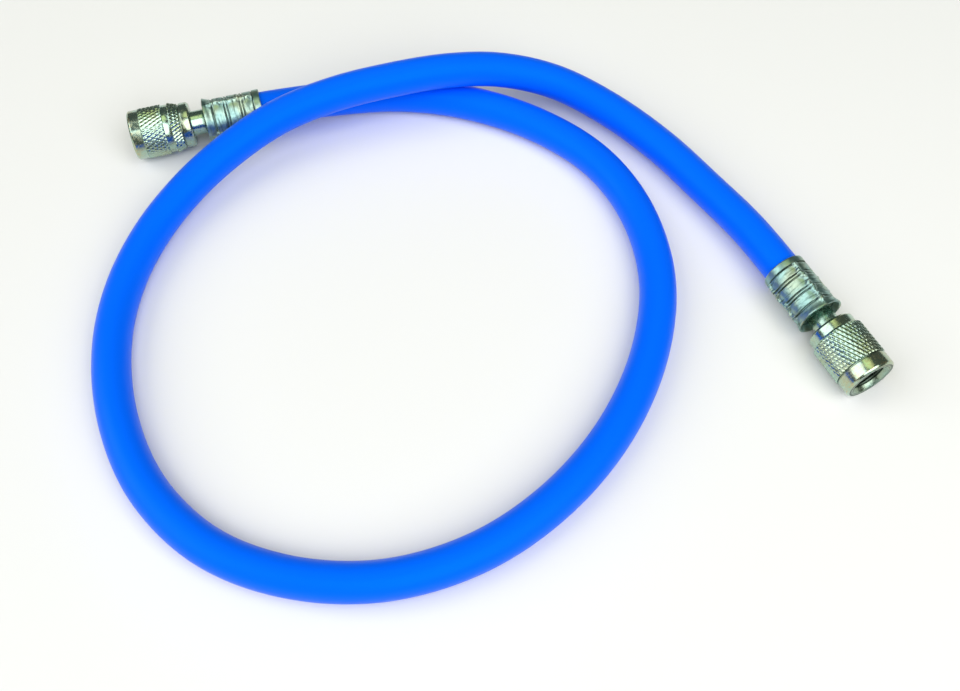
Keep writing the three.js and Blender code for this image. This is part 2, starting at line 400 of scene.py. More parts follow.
def start_surface_tree(name, settings):
    """A Geometry Nodes tree that shapes a turned surface, with the place of each point on it."""
    tree = bpy.data.node_groups.new(name, "GeometryNodeTree")
    tree.interface.new_socket(name="Geometry", in_out="INPUT", socket_type="NodeSocketGeometry")
    tree.interface.new_socket(name="Geometry", in_out="OUTPUT", socket_type="NodeSocketGeometry")
    for label, kind, default in settings:
        socket_in(tree, label, kind, default)
    socket_in(tree, "Material", "NodeSocketMaterial")
    given = tree.nodes.new("NodeGroupInput")
    position = tree.nodes.new("GeometryNodeInputPosition")
    apart = tree.nodes.new("ShaderNodeSeparateXYZ")
    tree.links.new(position.outputs[0], apart.inputs[0])
    across, along, height = apart.outputs
    radius = calc(tree, "SQRT", calc(tree, "ADD", times(tree, across, across), times(tree, height, height)))
    angle = calc(tree, "ARCTAN2", across, height)
    return tree, given, (across, along, height), radius, angle


def finish_surface_tree(tree, given, place, radius, outward, forward, wear_and_shade):
    """Moves each point outward and forward, adds to its wear and painted shade, and ends the tree."""
    across, _, height = place
    worn = tree.nodes.new("GeometryNodeInputNamedAttribute")
    worn.data_type = "FLOAT"
    worn.inputs["Name"].default_value = "wear_and_shade"
    store = tree.nodes.new("GeometryNodeStoreNamedAttribute")
    store.data_type = "FLOAT"
    store.domain = "POINT"
    store.inputs["Name"].default_value = "wear_and_shade"
    tree.links.new(given.outputs["Geometry"], store.inputs["Geometry"])
    join(tree, calc(tree, "ADD", worn.outputs["Attribute"], wear_and_shade), store.inputs["Value"])
    share = calc(tree, "DIVIDE", outward, radius)
    offset = combined(tree, times(tree, across, share), forward, times(tree, height, share))
    move = tree.nodes.new("GeometryNodeSetPosition")
    tree.links.new(store.outputs["Geometry"], move.inputs["Geometry"])
    tree.links.new(offset, move.inputs["Offset"])
    whole = tree.nodes.new("GeometryNodeRealizeInstances")
    tree.links.new(move.outputs["Geometry"], whole.inputs["Geometry"])
    finish = tree.nodes.new("GeometryNodeSetMaterial")
    tree.links.new(whole.outputs["Geometry"], finish.inputs["Geometry"])
    tree.links.new(given.outputs["Material"], finish.inputs["Material"])
    result = tree.nodes.new("NodeGroupOutput")
    tree.links.new(finish.outputs["Geometry"], result.inputs["Geometry"])
    return tree


def knurling_tree():
    """Two sets of crossing grooves cut into one band of a turned surface."""
    tree, given, place, radius, angle = start_surface_tree("Knurled band", (
        ("Teeth Around", "NodeSocketInt", 40),
        ("Diamond Length", "NodeSocketFloat", 2.9 * MM),
        ("Depth", "NodeSocketFloat", 0.4 * MM),
        ("Band Start", "NodeSocketFloat", 0.0),
        ("Band End", "NodeSocketFloat", 0.0),
        ("Least Radius", "NodeSocketFloat", 0.0),
    ))
    along = place[1]
    start, end = given.outputs["Band Start"], given.outputs["Band End"]
    tooth = times(tree, calc(tree, "DIVIDE", angle, 2 * math.pi), given.outputs["Teeth Around"])
    diamond = calc(tree, "DIVIDE", calc(tree, "SUBTRACT", along, start), given.outputs["Diamond Length"])
    deep, shallow = (zigzag(tree, calc(tree, way, tooth, diamond)) for way in ("ADD", "SUBTRACT"))
    # One set of grooves is cut deeper than the other, so that the crests run on as strokes.
    shallow = calc(tree, "ADD", 1 - SHALLOW_GROOVE, times(tree, shallow, SHALLOW_GROOVE))
    crest = times(tree, calc(tree, "MINIMUM", deep, shallow), CREST_FLATTENING)
    crest = calc(tree, "MINIMUM", crest, 1.0)
    band = times(tree, within(tree, along, start, end),
                 calc(tree, "GREATER_THAN", radius, given.outputs["Least Radius"]))
    outward = times(tree, calc(tree, "SUBTRACT", crest, 1.0), given.outputs["Depth"], band)
    # Crests are worn to brass, and the grooves between them get painted shade.
    shine = times(tree, calc(tree, "POWER", crest, 2.0), CREST_WEAR)
    wear_and_shade = times(tree, calc(tree, "SUBTRACT", shine, KNURL_GROOVE_SHADE), band)
    return finish_surface_tree(tree, given, place, radius, outward, 0.0, wear_and_shade)


def thread_tree():
    """A thread cut into the bore of a turned surface."""
    tree, given, place, radius, angle = start_surface_tree("Threaded bore", (
        ("Pitch", "NodeSocketFloat", 1.27 * MM),
        ("Depth", "NodeSocketFloat", 0.5 * MM),
        ("Thread Start", "NodeSocketFloat", 0.0),
        ("Thread End", "NodeSocketFloat", 0.0),
        ("Greatest Radius", "NodeSocketFloat", 0.0),
    ))
    along = place[1]
    start, end = given.outputs["Thread Start"], given.outputs["Thread End"]
    pitch = given.outputs["Pitch"]
    turn = calc(tree, "ADD", calc(tree, "DIVIDE", angle, 2 * math.pi), calc(tree, "DIVIDE", along, pitch))
    run_in = smooth_step(tree, along, start, calc(tree, "ADD", start, pitch))
    run_out = smooth_step(tree, along, end, calc(tree, "SUBTRACT", end, times(tree, pitch, 0.5)))
    bore = times(tree, calc(tree, "LESS_THAN", radius, given.outputs["Greatest Radius"]),
                 within(tree, along, start, end))
    depth = times(tree, run_in, run_out, given.outputs["Depth"])
    outward = times(tree, zigzag(tree, turn), depth, bore)
    return finish_surface_tree(tree, given, place, radius, outward, 0.0, 0.0)


def crimp_tree():
    """Wavy ridges between the crimped flats of a ferrule, and a lip drawn back between them."""
    tree, given, place, radius, angle = start_surface_tree("Crimped ferrule", (
        ("Jaws", "NodeSocketInt", 4),
        ("Flat Depth", "NodeSocketFloat", 0.5 * MM),
        ("Ridge Height", "NodeSocketFloat", 0.95 * MM),
        ("Ridge Width", "NodeSocketFloat", 0.9 * MM),
        ("Land Radius", "NodeSocketFloat", LAND_RADIUS),
        ("Crimp Start", "NodeSocketFloat", 0.0),
        ("Crimp End", "NodeSocketFloat", 0.0),
        ("Ferrule End", "NodeSocketFloat", 0.0),
        ("Lip Scallop", "NodeSocketFloat", 0.2 * MM),
        ("Bore Radius", "NodeSocketFloat", FERRULE_BORE_RADIUS),
        ("Seed", "NodeSocketFloat", 0.0),
    ))
    along = place[1]
    start, end = given.outputs["Crimp Start"], given.outputs["Crimp End"]
    ferrule_end, seed = given.outputs["Ferrule End"], given.outputs["Seed"]
    jaws = given.outputs["Jaws"]
    turn = calc(tree, "DIVIDE", angle, 2 * math.pi)
    jaw = times(tree, turn, jaws)
    nearest = calc(tree, "ROUND", jaw)
    along_mm = calc(tree, "DIVIDE", along, MM)

    # Each ridge wanders aside and rises into knots, by noise of its own.
    ridge_number = calc(tree, "FLOORED_MODULO", nearest, jaws)
    spot = combined(tree, times(tree, along_mm, WANDERS_PER_MM), times(tree, ridge_number, RIDGE_APART), seed)
    uneven = noise(tree, spot, 1.0, 2.0)
    knots = noise(tree, spot, KNOTS_PER_WANDER, 1.0)
    wander = times(tree, calc(tree, "SUBTRACT", uneven, 0.5), WANDER)
    span = calc(tree, "DIVIDE", times(tree, 2 * math.pi, radius), jaws)
    aside = calc(tree, "ADD", times(tree, calc(tree, "SUBTRACT", jaw, nearest), span), wander)

    # The ridge narrows beside each land and widens beside the grooves.
    wave = times(tree, calc(tree, "SUBTRACT", along_mm, FIRST_LAND_MM), 2 * math.pi / LAND_SPACING_MM)
    narrowing = times(tree, calc(tree, "COSINE", wave), -RIDGE_NARROWING)
    width = times(tree, given.outputs["Ridge Width"], calc(tree, "ADD", 1.0, narrowing))
    reach = calc(tree, "DIVIDE", aside, width)
    profile = calc(tree, "EXPONENT", times(tree, reach, reach, -1.0))
    fade = times(tree, smooth_step(tree, along, start, calc(tree, "ADD", start, CRIMP_FADE)),
                 smooth_step(tree, along, ferrule_end, end))
    shell = calc(tree, "ADD", given.outputs["Bore Radius"], SHELL_MARGIN)
    outside = calc(tree, "GREATER_THAN", radius, shell)
    ridge = times(tree, profile, fade, outside)
    height = calc(tree, "ADD", LEAST_KNOT, times(tree, knots, KNOT_RANGE))
    top = calc(tree, "ADD", given.outputs["Land Radius"], times(tree, given.outputs["Ridge Height"], height))
    rise = times(tree, calc(tree, "SUBTRACT", top, radius), ridge)

    position = tree.nodes.new("GeometryNodeInputPosition").outputs[0]
    dent = calc(tree, "SUBTRACT", noise(tree, position, DENTS_PER_M, 2.0, seed), 0.5)
    dent = times(tree, dent, DENT_DEPTH)

    # Between two ridges the sleeve is pressed flat and its lip stops short.
    swing = calc(tree, "COSINE", times(tree, jaw, 2 * math.pi))
    middle = calc(tree, "SUBTRACT", 0.5, times(tree, 0.5, swing))
    flat = times(tree, middle, fade, given.outputs["Flat Depth"], -1.0)
    outward = calc(tree, "ADD", rise, times(tree, calc(tree, "ADD", dent, flat), outside))
    lip = smooth_step(tree, along, end, ferrule_end)
    forward = times(tree, middle, lip, given.outputs["Lip Scallop"], -1.0)

    # Ridges are worn, their feet get painted shade, and the jaws leave dull streaks that run around the
    # sleeve.
    foot = calc(tree, "ABSOLUTE", calc(tree, "SUBTRACT", times(tree, ridge, FOOT_SHARPNESS), 1.0))
    foot = calc(tree, "MAXIMUM", calc(tree, "SUBTRACT", 1.0, foot), 0.0)
    wear_and_shade = calc(tree, "ADD", times(tree, ridge, RIDGE_WEAR), times(tree, foot, -FOOT_SHADE))
    around = combined(tree, times(tree, along_mm, STREAKS_PER_MM), times(tree, turn, STREAKS_PER_TURN), seed)
    streak = smooth_step(tree, noise(tree, around, 1.0, 1.0), *STREAK_EDGES)
    wear_and_shade = calc(tree, "ADD", wear_and_shade, times(tree, streak, -STREAK_DULLNESS, outside))
    return finish_surface_tree(tree, given, place, radius, outward, forward, wear_and_shade)


def apply_tree(piece, tree, material, **values):
    """Runs the tree on the piece and leaves its result as a plain mesh."""
    modifier = piece.modifiers.new(tree.name, "NODES")
    modifier.node_group = tree
    identifiers = {item.name: item.identifier for item in tree.interface.items_tree
                   if item.in_out == "INPUT"}
    modifier[identifiers["Material"]] = material
    for name, value in values.items():
        modifier[identifiers[name.replace("_", " ").title()]] = value
    depsgraph = bpy.context.evaluated_depsgraph_get()
    shaped = bpy.data.meshes.new_from_object(
        piece.evaluated_get(depsgraph), preserve_all_data_layers=True, depsgraph=depsgraph)
    piece.modifiers.clear()
    piece.data = shaped
    return piece


# Meshes


def linked(name, mesh):
    piece = bpy.data.objects.new(name, mesh)
    bpy.context.scene.collection.objects.link(piece)
    return piece


def rounded(profile, size):
    """Each real corner of a closed (radius, along, wear_and_shade) profile becomes three points."""
    result = []
    count = len(profile)
    for i, (radius, along, wear_and_shade) in enumerate(profile):
        here = Vector((radius, along))
        to_last = Vector(profile[i - 1][:2]) - here
        to_next = Vector(profile[(i + 1) % count][:2]) - here
        straight = to_last.length < 1e-9 or to_next.length < 1e-9
        if straight or to_last.angle(to_next) > STRAIGHT_ANGLE:
            result.append((radius, along, wear_and_shade))
            continue
        first = here + to_last.normalized() * min(size, to_last.length * ROUNDING_SHARE)
        last = here + to_next.normalized() * min(size, to_next.length * ROUNDING_SHARE)
        middle = (first + last + 2 * here) / 4
        result += [(*first, wear_and_shade * ROUNDING_WEAR_AND_SHADE), (*middle, wear_and_shade), (*last, wear_and_shade * ROUNDING_WEAR_AND_SHADE)]
    return result


def rows(start, end, step):
    """Places from start to end, about step apart, with both ends."""
    count = max(1, round(abs(end - start) / step))
    return [start + (end - start) * i / count for i in range(count + 1)]


def turned(name, profile, columns):
    """A closed shell turned about +Y from a closed (radius, along, wear_and_shade) profile."""
    points, faces, wear_and_shade = [], [], []
    for radius, along, worn in profile:
        for column in range(columns):
            angle = 2 * math.pi * column / columns
            points.append((radius * math.sin(angle), along, radius * math.cos(angle)))
            wear_and_shade.append(worn)
    for row in range(len(profile)):
        below, above = row * columns, (row + 1) % len(profile) * columns
        for column in range(columns):
            beside = (column + 1) % columns
            faces.append((below + column, below + beside, above + beside, above + column))
    mesh = bpy.data.meshes.new(name)
    mesh.from_pydata(points, [], faces)
    mesh.attributes.new("wear_and_shade", "FLOAT", "POINT").data.foreach_set("value", wear_and_shade)
    return linked(name, mesh)


def placed(piece, mouth, angle, along=0.0):
    """Lays a piece built along +Y down at its mouth, in the direction its fitting points."""
    mesh = piece.data
    mesh.transform(Matrix.Translation(mouth) @ Matrix.Rotation(angle - math.pi / 2, 4, "Z")
                   @ Matrix.Translation((0, along, 0)))
    shell = bmesh.new()
    shell.from_mesh(mesh)
    bmesh.ops.remove_doubles(shell, verts=shell.verts, dist=MERGE_DISTANCE)
    bmesh.ops.recalc_face_normals(shell, faces=shell.faces)
    shell.to_mesh(mesh)
    shell.free()
    mesh.shade_smooth()
    mesh.set_sharp_from_angle(angle=SHARP_ANGLE)
    return piece


def seat(piece, material, body, node):
    """Gives a finished piece its finish and its body, and hides the solid it stands for."""
    piece.data.materials.clear()
    piece.data.materials.append(material)
    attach(piece, body)
    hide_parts(node)
    return piece


# Hose


def heading(angle):
    return Vector((math.cos(angle), math.sin(angle), 0))


def hose_line():
    """Centres of the hose on a centripetal Catmull-Rom curve through its route."""
    points = [FRONT_MOUTH + heading(FRONT_ANGLE) * HOSE_INSIDE, FRONT_MOUTH]
    points += [Vector(point) for point in HOSE_ROUTE]
    points += [BACK_MOUTH, BACK_MOUTH + heading(BACK_ANGLE) * HOSE_INSIDE]
    before = [2 * points[0] - points[1]] + points[:-1]
    after = points[1:] + [2 * points[-1] - points[-2]]
    line = []
    for i in range(len(points) - 1):
        last, here, there, beyond = before[i], points[i], points[i + 1], after[i + 1]
        steps = [(b - a).length ** 0.5 for a, b in ((last, here), (here, there), (there, beyond))]
        leave = ((here - last) / steps[0] - (there - last) / (steps[0] + steps[1])
                 + (there - here) / steps[1]) * steps[1]
        arrive = ((there - here) / steps[1] - (beyond - here) / (steps[1] + steps[2])
                  + (beyond - there) / steps[2]) * steps[1]
        for k in range(PATH_STEPS):
            t = k / PATH_STEPS
            line.append(here + leave * t + (3 * (there - here) - 2 * leave - arrive) * t ** 2
                        + (2 * (here - there) + leave + arrive) * t ** 3)
    line.append(points[-1])
    return line


def tube(name, line):
    """A hollow hose along a line, with UV coordinates that run along and around it."""
    side = Vector((0, 0, 1)).cross(line[1] - line[0]).normalized()
    points, around = [], []
    distance, distances = 0.0, []
    for i, centre in enumerate(line):
        way = (line[min(i + 1, len(line) - 1)] - line[max(i - 1, 0)]).normalized()
        side = (side - way * side.dot(way)).normalized()
        up = way.cross(side)
        distance += (centre - line[i - 1]).length if i else 0.0
        distances.append(distance)
        for radius, sides in ((HOSE_RADIUS, HOSE_SIDES), (BORE_RADIUS, BORE_SIDES)):
            for k in range(sides):
                angle = 2 * math.pi * k / sides
                points.append(centre + (side * math.cos(angle) + up * math.sin(angle)) * radius)
                around.append((distance, k / sides))
    ring = HOSE_SIDES + BORE_SIDES
    faces = []
    for i in range(len(line) - 1):
        for first, sides in ((0, HOSE_SIDES), (HOSE_SIDES, BORE_SIDES)):
            low, high = i * ring + first, (i + 1) * ring + first
            faces += [(low + k, low + (k + 1) % sides, high + (k + 1) % sides, high + k)
                      for k in range(sides)]
    ratio = HOSE_SIDES // BORE_SIDES
    for start in (0, (len(line) - 1) * ring):
        for k in range(BORE_SIDES):
            rim = [start + (k * ratio + step) % HOSE_SIDES for step in range(ratio + 1)]
            bore = [start + HOSE_SIDES + (k + 1) % BORE_SIDES, start + HOSE_SIDES + k]
            faces.append(tuple(rim + bore))
    mesh = bpy.data.meshes.new(name)
    mesh.from_pydata(points, [], faces)
    layer = mesh.uv_layers.new(name="along_hose")
    for polygon in mesh.polygons:
        turns = [around[mesh.loops[k].vertex_index][1] for k in polygon.loop_indices]
        seam = max(turns) - min(turns) > 0.5
        for k, turn in zip(polygon.loop_indices, turns):
            layer.data[k].uv = (around[mesh.loops[k].vertex_index][0] * UV_PER_M,
                                turn + 1 if seam and turn < 0.5 else turn)
    shell = bmesh.new()
    shell.from_mesh(mesh)
    bmesh.ops.recalc_face_normals(shell, faces=shell.faces)
    shell.to_mesh(mesh)
    shell.free()
    mesh.shade_smooth()
    mesh.set_sharp_from_angle(angle=HOSE_SHARP_ANGLE)
    return linked(name, mesh)


# Materials


def shader(name):
    material = bpy.data.materials.new(name)
    material.use_nodes = True
    return material, material.node_tree, material.node_tree.nodes["Principled BSDF"]


def bumped(tree, height, strength, distance, surface):
    """Raises fine relief on a surface."""
    relief = tree.nodes.new("ShaderNodeBump")
    relief.inputs["Strength"].default_value = strength
    relief.inputs["Distance"].default_value = distance
    tree.links.new(height, relief.inputs["Height"])
    tree.links.new(relief.outputs["Normal"], surface.inputs["Normal"])


def rubber_material(settings):
    material, tree, surface = shader("hose_rubber")
    where = tree.nodes.new("ShaderNodeTexCoord").outputs["Object"]
    dull = tree.nodes.new("ShaderNodeMapRange")
    tree.links.new(noise(tree, where, MOTTLE_PER_M, 4.0), dull.inputs["Value"])
    dull.inputs["From Min"].default_value, dull.inputs["From Max"].default_value = MOTTLE_EDGES
    dull.inputs["To Min"].default_value = settings.hose_roughness + MOTTLE_ROUGHNESS[0]
    dull.inputs["To Max"].default_value = settings.hose_roughness + MOTTLE_ROUGHNESS[1]
    tree.links.new(dull.outputs["Result"], surface.inputs["Roughness"])
    bumped(tree, noise(tree, where, GRAIN_PER_M, 3.0), GRAIN_STRENGTH, GRAIN_DEPTH, surface)
    surface.inputs["Base Color"].default_value = (*settings.hose_colour, 1)
    surface.inputs["Specular IOR Level"].default_value = HOSE_SHEEN
    surface.inputs["Specular Tint"].default_value = HOSE_SHEEN_TINT
    return material


def plating_group():
    """Bright plating: worn to brass where the wear and shade value is 1, darker and rougher where it is -1,
    for painted shade and dull streaks.
    """
    tree = bpy.data.node_groups.new("Worn plating with painted shade", "ShaderNodeTree")
    for name, kind in (("Plating", "NodeSocketColor"), ("Warm Tint", "NodeSocketColor"),
                       ("Brass", "NodeSocketColor"), ("Streak And Shade", "NodeSocketColor"),
                       ("Wear And Shade", "NodeSocketFloat"), ("Polish", "NodeSocketFloat")):
        socket_in(tree, name, kind)
    for name, kind in (("Color", "NodeSocketColor"), ("Roughness", "NodeSocketFloat"),
                       ("Height", "NodeSocketFloat")):
        tree.interface.new_socket(name=name, in_out="OUTPUT", socket_type=kind)
    given = tree.nodes.new("NodeGroupInput")
    result = tree.nodes.new("NodeGroupOutput")
    where = tree.nodes.new("ShaderNodeTexCoord").outputs["Object"]

    def mixed(factor, first, second):
        node = tree.nodes.new("ShaderNodeMix")
        node.data_type = "RGBA"
        join(tree, factor, node.inputs[0])
        tree.links.new(first, node.inputs[6])
        tree.links.new(second, node.inputs[7])
        return node.outputs[2]

    broad, fine = noise(tree, where, CLOUDS_PER_M, 2.0), noise(tree, where, SPECKS_PER_M, 4.0)
    tint = times(tree, smooth_step(tree, broad, *CLOUD_EDGES), CLOUD_SHARE)
    plated = mixed(tint, given.outputs["Plating"], given.outputs["Warm Tint"])
    bare = times(tree, given.outputs["Wear And Shade"], smooth_step(tree, fine, *BARE_EDGES))
    worn = mixed(bare, plated, given.outputs["Brass"])
    # Below 0 the colour turns to the shade and streak colour and the metal grows rougher: painted shade in
    # recesses, grooves and at ridge feet, and the real dull streaks of the crimp jaws.
    dull = smooth_step(tree, given.outputs["Wear And Shade"], 0.0, -1.0)
    tree.links.new(mixed(dull, worn, given.outputs["Streak And Shade"]), result.inputs["Color"])
    speckle = times(tree, smooth_step(tree, fine, *SPECK_EDGES), SPECK_ROUGHNESS)
    spoilt = calc(tree, "ADD", speckle, times(tree, dull, DULL_ROUGHNESS))
    tree.links.new(calc(tree, "ADD", given.outputs["Polish"], spoilt), result.inputs["Roughness"])
    tree.links.new(fine, result.inputs["Height"])
    return tree


def plating():
    return bpy.data.node_groups.get("Worn plating with painted shade") or plating_group()


def metal_material(name, settings, colour, finish):
    """Plating of one colour, worn to brass, with painted shade and dull streaks."""
    polish, relief_strength = finish
    material, tree, surface = shader(name)
    wear_and_shade = tree.nodes.new("ShaderNodeAttribute")
    wear_and_shade.attribute_name = "wear_and_shade"
    metal = tree.nodes.new("ShaderNodeGroup")
    metal.node_tree = plating()
    metal.inputs["Plating"].default_value = (*colour, 1)
    metal.inputs["Warm Tint"].default_value = (*settings.warm_colour, 1)
    metal.inputs["Brass"].default_value = (*settings.brass_colour, 1)
    metal.inputs["Streak And Shade"].default_value = (*settings.shade_and_streak_colour, 1)
    metal.inputs["Polish"].default_value = polish
    tree.links.new(wear_and_shade.outputs["Fac"], metal.inputs["Wear And Shade"])
    tree.links.new(metal.outputs["Color"], surface.inputs["Base Color"])
    tree.links.new(metal.outputs["Roughness"], surface.inputs["Roughness"])
    bumped(tree, metal.outputs["Height"], relief_strength, PLATING_RELIEF, surface)
    surface.inputs["Metallic"].default_value = 1.0
    return material


# Fittings


def ferrule_profile():
    """Collar, crimped lands parted by grooves, waist and flared lip, then the recess, web and bore."""
    groove = LAND_RADIUS - GROOVE_DEPTH
    corners = [(COLLAR_RADIUS - SKIN, 0.0, 0.5), (COLLAR_RADIUS, 0.3 * MM, 0.2),
               (COLLAR_RADIUS, COLLAR_LENGTH - 0.2 * MM, 0.2)]
    along = COLLAR_LENGTH

    def cut(start, width):
        """Adds a groove, and tells where it ends."""
        if start > COLLAR_LENGTH:
            corners.append((LAND_RADIUS, start, 0.2))
        # The floor of each groove gets painted shade.
        corners.extend([(groove, start + width * 0.25, -0.9),
                        (groove, start + width * 0.75, -0.9), (LAND_RADIUS, start + width, 0.2)])
        return start + width

    for land, length in enumerate(LAND_LENGTHS):
        along = cut(along, GROOVE_WIDTH)
        if land:
            along = cut(along + NARROW_LAND, GROOVE_WIDTH)
        corners.extend((LAND_RADIUS, place, 0.0) for place in rows(along, along + length, FERRULE_ROW)[1:-1])
        along += length
    crimp_end = cut(along, WAIST_LENGTH)
    lip = [(LAND_RADIUS + (LIP_RADIUS - LAND_RADIUS) * share ** LIP_CURVE,
            crimp_end + (FERRULE_LENGTH - crimp_end) * share, 0.0)
           for share in LIP_ROWS]
    # The recess inside the lip darkens towards the web with painted shade, darkest on the web's face.
    inside = [(LIP_RADIUS, FERRULE_LENGTH, 0.5), (LIP_RADIUS - LIP_WALL, FERRULE_LENGTH, 0.0),
              (FERRULE_BORE_RADIUS, WEB_FRONT, -1.0), (NECK_HOLE_RADIUS, WEB_FRONT, -1.0),
              (NECK_HOLE_RADIUS, WEB_BACK, 0.0), (FERRULE_BORE_RADIUS, WEB_BACK, 0.0),
              (FERRULE_BORE_RADIUS, 0.0, 0.3)]
    return corners + lip + inside, crimp_end


def stem_profile():
    tail_radius = BORE_RADIUS - SEAT_GAP
    nose_start = STEM_FRONT - NOSE_LENGTH
    flange_start = nose_start - FLANGE_THICKNESS
    return [
        (STEM_BORE_RADIUS, STEM_TAIL_END, 0.0), (tail_radius, STEM_TAIL_END, 0.0),
        (tail_radius, WEB_BACK, 0.0), (NECK_RADIUS, WEB_BACK, 0.0),
        (NECK_RADIUS, flange_start, 0.0), (FLANGE_RADIUS, flange_start, 0.2),
        (FLANGE_RADIUS, nose_start, 0.3), (NECK_RADIUS, nose_start, 0.0),
        (NOSE_TIP_RADIUS, STEM_FRONT, 0.7), (STEM_BORE_RADIUS, STEM_FRONT, 0.3),
    ]


def nut_inside(settings):
    """From a nut's open face back to the hole that the neck passes through."""
    step = settings.thread_pitch / ROWS_PER_THREAD_TURN
    thread = rows(NUT_LENGTH - MOUTH_BEVEL, RELIEF_END, step)
    # The face's inner edge, the mouth, the thread and the relief get painted shade.
    return ([(FACE_RADIUS, NUT_LENGTH, 0.3), (FACE_RADIUS - 0.3 * MM, NUT_LENGTH, -0.9),
             (MOUTH_RADIUS, NUT_LENGTH, -0.7)]
            + [(THREAD_RADIUS, place, -0.8) for place in thread]
            + [(RELIEF_RADIUS, RELIEF_END - EDGE_BEVEL, -1.0), (RELIEF_RADIUS, NUT_BACK_WALL, -1.0),
               (NECK_HOLE_RADIUS, NUT_BACK_WALL, 0.0), (NECK_HOLE_RADIUS, 0.0, 0.0)])


def knurl_rows(band, settings):
    step = settings.diamond_length / ROWS_PER_DIAMOND
    return [(NUT_RADIUS, place, 0.0) for place in rows(*band, step)]


def front_nut_profile(settings):
    knurl_start, knurl_end = FRONT_KNURL
    groove_radius = NUT_RADIUS - NUT_GROOVE_DEPTH
    groove_end = knurl_end + NUT_GROOVE_WIDTH
    return ([(BACK_COLLAR_RADIUS - EDGE_BEVEL, 0.0, 0.6), (BACK_COLLAR_RADIUS, EDGE_BEVEL, 0.4),
             (BACK_COLLAR_RADIUS, knurl_start - EDGE_BEVEL, 0.0)]
            + knurl_rows(FRONT_KNURL, settings)
            # The groove gets painted shade.
            + [(groove_radius, knurl_end + GROOVE_INSET, -1.0),
               (groove_radius, groove_end - GROOVE_INSET, -1.0),
               (FACE_COLLAR_RADIUS, groove_end, 0.5), (FACE_COLLAR_RADIUS, NUT_LENGTH - EDGE_BEVEL, 0.8)]
            + nut_inside(settings))


def back_nut_profile(settings):
    shoulder, band_start = BACK_SHOULDER_KNURL
    knurl_start, knurl_end = BACK_KNURL
    groove_radius = BACK_COLLAR_RADIUS - NUT_GROOVE_DEPTH
    slope = [(BACK_COLLAR_RADIUS + (NUT_RADIUS - BACK_COLLAR_RADIUS) * row / SLOPE_ROWS,
              shoulder + (band_start - shoulder) * row / SLOPE_ROWS, 0.0) for row in range(1, SLOPE_ROWS)]
    return ([(BACK_COLLAR_RADIUS - EDGE_BEVEL, 0.0, 0.6), (BACK_COLLAR_RADIUS, EDGE_BEVEL, 0.4),
             (BACK_COLLAR_RADIUS, BACK_COLLAR_END, 0.4),
             # The groove gets painted shade.
             (groove_radius, BACK_COLLAR_END + GROOVE_INSET, -1.0),
             (groove_radius, shoulder - GROOVE_INSET, -1.0), (BACK_COLLAR_RADIUS, shoulder, 0.3)]
            + slope
            + [(NUT_RADIUS, band_start, 0.4), (MIDDLE_BAND_RADIUS, band_start + GROOVE_INSET, 0.0),
               (MIDDLE_BAND_RADIUS, knurl_start - GROOVE_INSET, 0.0)]
            + knurl_rows(BACK_KNURL, settings)
            + [(FACE_COLLAR_RADIUS, knurl_end + GROOVE_INSET, 0.3),
               (FACE_COLLAR_RADIUS, NUT_LENGTH - EDGE_BEVEL, 0.8)]
            + nut_inside(settings))


# For each end: its name, mouth, direction, knurled bands, nut profile and the seed of its dents
FITTINGS = (
    ("front", FRONT_MOUTH, FRONT_ANGLE, (FRONT_KNURL,), front_nut_profile, 3.0),
    ("back", BACK_MOUTH, BACK_ANGLE, (BACK_SHOULDER_KNURL, BACK_KNURL), back_nut_profile, 8.0),
)


# Operators


class CHARGINGHOSE_OT_camera(bpy.types.Operator):
    """Add the camera at the photograph's viewing angle"""

    bl_idname = "charging_hose.camera"
    bl_label = "Camera"

    def execute(self, context):
        back = Vector((math.sin(CAMERA_AZIMUTH), -math.cos(CAMERA_AZIMUTH), 0))
        towards = back * math.cos(CAMERA_ELEVATION) + Vector((0, 0, math.sin(CAMERA_ELEVATION)))
        camera = bpy.data.objects.new("camera", bpy.data.cameras.new("camera"))
        camera.location = LOOK_AT + towards * CAMERA_DISTANCE
        camera.rotation_euler = (LOOK_AT - camera.location).to_track_quat("-Z", "Y").to_euler()
        camera.data.lens = CAMERA_LENS
        camera.data.sensor_width = CAMERA_SENSOR
        camera.data.clip_start = CAMERA_CLIP_START
        context.scene.collection.objects.link(camera)
        context.scene.camera = camera
        return {"FINISHED"}


class CHARGINGHOSE_OT_hose(bpy.types.Operator):
    """Add the rubber hose"""

    bl_idname = "charging_hose.hose"
    bl_label = "Hose"

    def execute(self, context):
        hose = tube("rubber_hose", hose_line())
        seat(hose, rubber_material(context.scene.hose_looks), "hose_assembly", "hose")
        return {"FINISHED"}


class CHARGINGHOSE_OT_ferrules(bpy.types.Operator):
    """Add the crimped ferrule of each end"""

    bl_idname = "charging_hose.ferrules"
    bl_label = "Ferrules"

    def execute(self, context):
        looks = context.scene.fitting_looks
        metal = metal_material("ferrule_plating", looks, looks.ferrule_colour, FERRULE_FINISH)
        tree = crimp_tree()
        for end, mouth, angle, _, _, seed in FITTINGS:
            profile, crimp_end = ferrule_profile()
            piece = turned(end + "_crimped_ferrule", rounded(profile, EDGE_ROUNDING), FERRULE_COLUMNS)
            apply_tree(piece, tree, metal, jaws=looks.crimp_jaws, flat_depth=looks.flat_depth,
                       ridge_height=looks.ridge_height, ridge_width=looks.ridge_width,
                       crimp_start=COLLAR_LENGTH, crimp_end=crimp_end, ferrule_end=FERRULE_LENGTH,
                       lip_scallop=looks.lip_scallop, seed=seed)
            placed(piece, mouth, angle)
            seat(piece, metal, "hose_assembly", end + "_ferrule")
        return {"FINISHED"}


